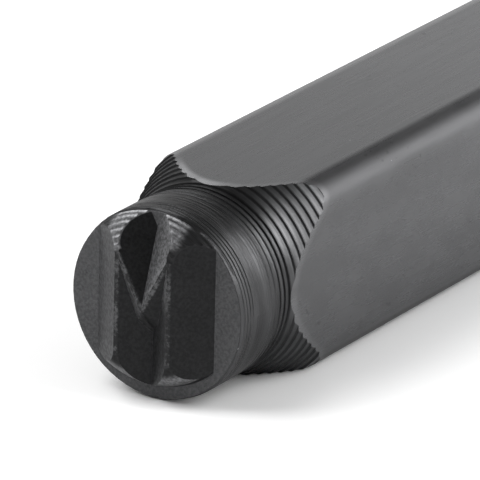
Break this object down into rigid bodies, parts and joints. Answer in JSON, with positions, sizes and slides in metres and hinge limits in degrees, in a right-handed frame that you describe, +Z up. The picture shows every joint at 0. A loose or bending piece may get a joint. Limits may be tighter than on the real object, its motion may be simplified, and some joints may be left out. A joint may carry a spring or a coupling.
{
  "type": "steel letter punch",
  "caption": "Hand stamping punch: a square steel bar whose end is turned to a round neck with a raised letter M on it.",
  "frame": {"origin": "under the middle of the punch's length, on the surface that its underside lies on", "axes": "+Y along the punch from the letter to the struck end, +Z up and towards the top of the letter, +X to the right as the letter end is looked at"},
  "size_m": [0.0094, 0.066, 0.0095],
  "materials": {
    "blackened_steel": "hardened tool steel with a thin dark oxide, satin, with turned marks on the neck and flare"
  },
  "bodies": {
    "root": {"letter_punch": "blackened_steel"}
  },
  "joints": []
}
